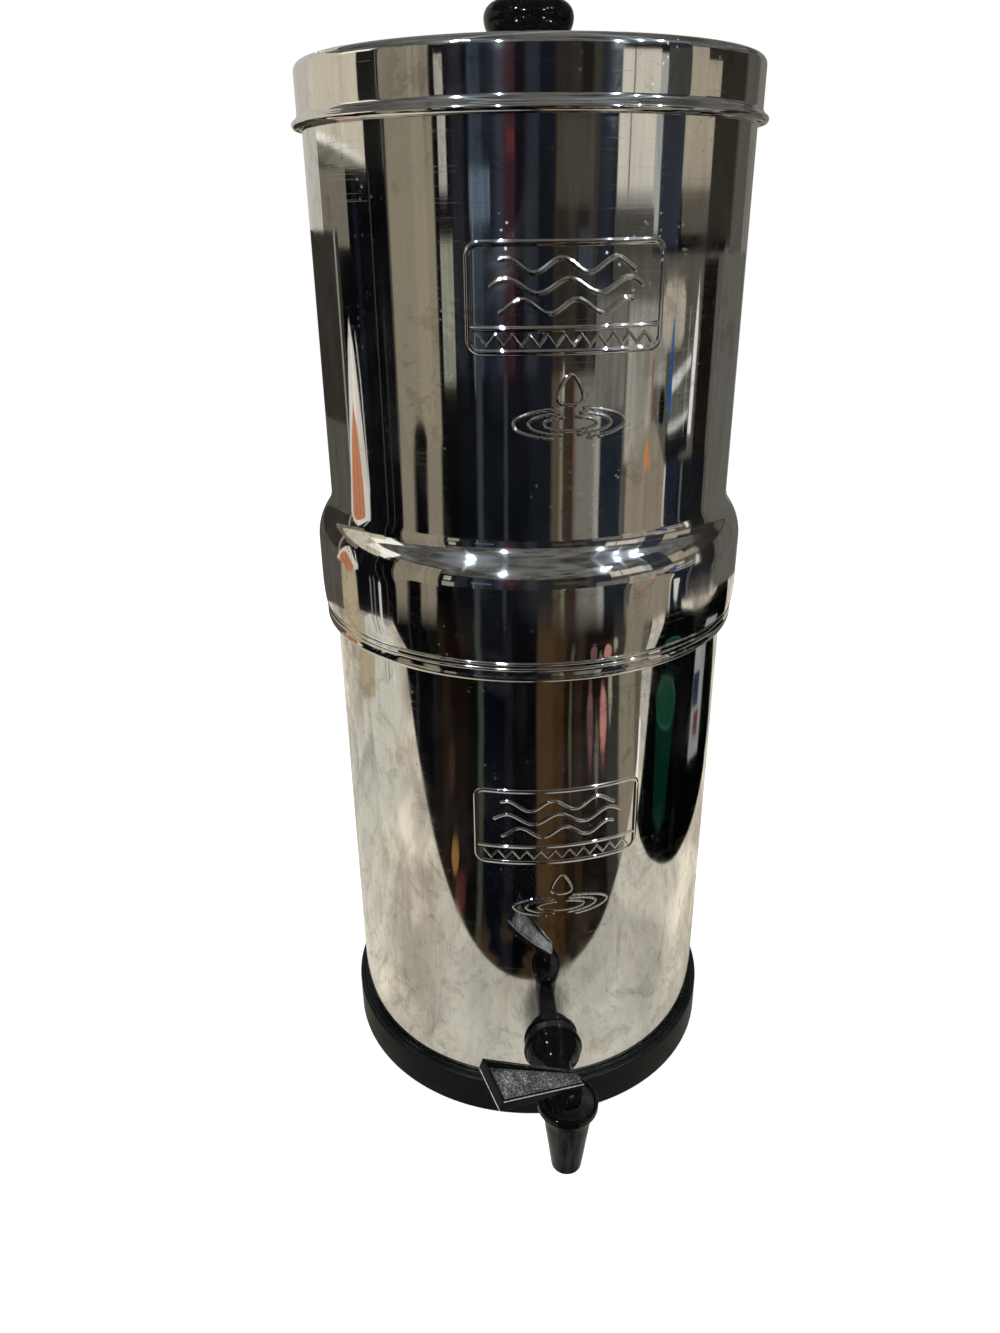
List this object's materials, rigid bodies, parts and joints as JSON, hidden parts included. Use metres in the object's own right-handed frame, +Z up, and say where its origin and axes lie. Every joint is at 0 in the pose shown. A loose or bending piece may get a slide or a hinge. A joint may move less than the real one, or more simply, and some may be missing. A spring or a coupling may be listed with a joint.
{
  "type": "gravity water filter",
  "caption": "Countertop gravity water filter: two stacked polished steel chambers with a lift-off lid, a knob, filter elements and a black lever tap.",
  "frame": {"origin": "on the vessel's axis, in the plane of the table that the base ring stands on", "axes": "+Z up along the vessel's axis; the tap points along -Y, with +X to the right as seen from the tap's side"},
  "size_m": [0.2414, 0.3166, 0.6074],
  "materials": {
    "polished_steel": "mirror-polished stainless sheet, fine wipe marks",
    "inner_steel": "satin stainless sheet",
    "black_rubber": "matte moulded rubber",
    "black_gloss": "glossy moulded plastic",
    "black_matte": "fine-textured moulded plastic",
    "white_plastic": "plain moulded acetal",
    "clear_silicone": "translucent silicone",
    "carbon_block": "porous pressed carbon",
    "brass": "turned brass",
    "screw_steel": "plain stainless"
  },
  "bodies": {
    "lower_chamber": {"base_ring": "black_rubber", "lower_wall": "polished_steel", "lower_floor": "inner_steel", "tap_body": "black_gloss", "tap_washer_outer": "black_rubber", "tap_washer_inner": "black_rubber", "tap_lock_nut": "black_matte", "tap_bonnet": "black_gloss", "tap_spring": "screw_steel"},
    "tap_swivel": {"tap_glide_ring": "black_matte"},
    "tap_valve": {"tap_stem": "white_plastic", "tap_seat_cup": "clear_silicone", "tap_lever_pin": "screw_steel"},
    "tap_lever": {"tap_lever": "black_gloss"},
    "upper_chamber": {"upper_wall": "polished_steel", "upper_skirt": "polished_steel", "upper_floor": "inner_steel", "filter_left_seal": "clear_silicone", "filter_left_base_cap": "black_matte", "filter_left_block": "carbon_block", "filter_left_top_cap": "black_matte", "filter_left_wing_nut": "black_matte", "filter_right_seal": "clear_silicone", "filter_right_base_cap": "black_matte", "filter_right_block": "carbon_block", "filter_right_top_cap": "black_matte", "filter_right_wing_nut": "black_matte", "plug_front_body": "black_matte", "plug_front_seal": "clear_silicone", "plug_front_nut": "black_matte", "plug_back_body": "black_matte", "plug_back_seal": "clear_silicone", "plug_back_nut": "black_matte"},
    "lid": {"lid_shell": "polished_steel", "lid_knob": "black_gloss", "knob_insert": "brass", "knob_screw": "screw_steel", "knob_washer": "screw_steel"}
  },
  "joints": [
    {"name": "upper_lift", "type": "slide", "parent": "lower_chamber", "child": "upper_chamber", "axis": [0, 0, 1], "range_m": [0, 0.12]},
    {"name": "lid_lift", "type": "slide", "parent": "upper_chamber", "child": "lid", "axis": [0, 0, 1], "range_m": [0, 0.08]},
    {"name": "lever_swivel", "type": "hinge", "parent": "lower_chamber", "child": "tap_swivel", "pos_m": [0, -0.169, 0.0527], "axis": [0, 0, 1], "range_deg": [-25, 175]},
    {"name": "stem_lift", "type": "slide", "parent": "tap_swivel", "child": "tap_valve", "axis": [0, 0, 1], "range_m": [0, 0.0045], "deforming": ["tap_spring"]},
    {"name": "lever_press", "type": "hinge", "parent": "tap_valve", "child": "tap_lever", "pos_m": [0, -0.169, 0.074], "axis": [0.2588, -0.9659, 0], "range_deg": [0, 20], "stiffness_Nm_per_rad": 0.25, "springref_deg": -11.46}
  ],
  "couplings": [
    {"joint": "stem_lift", "follows": "lever_press", "m_per_rad": 0.0122}
  ]
}
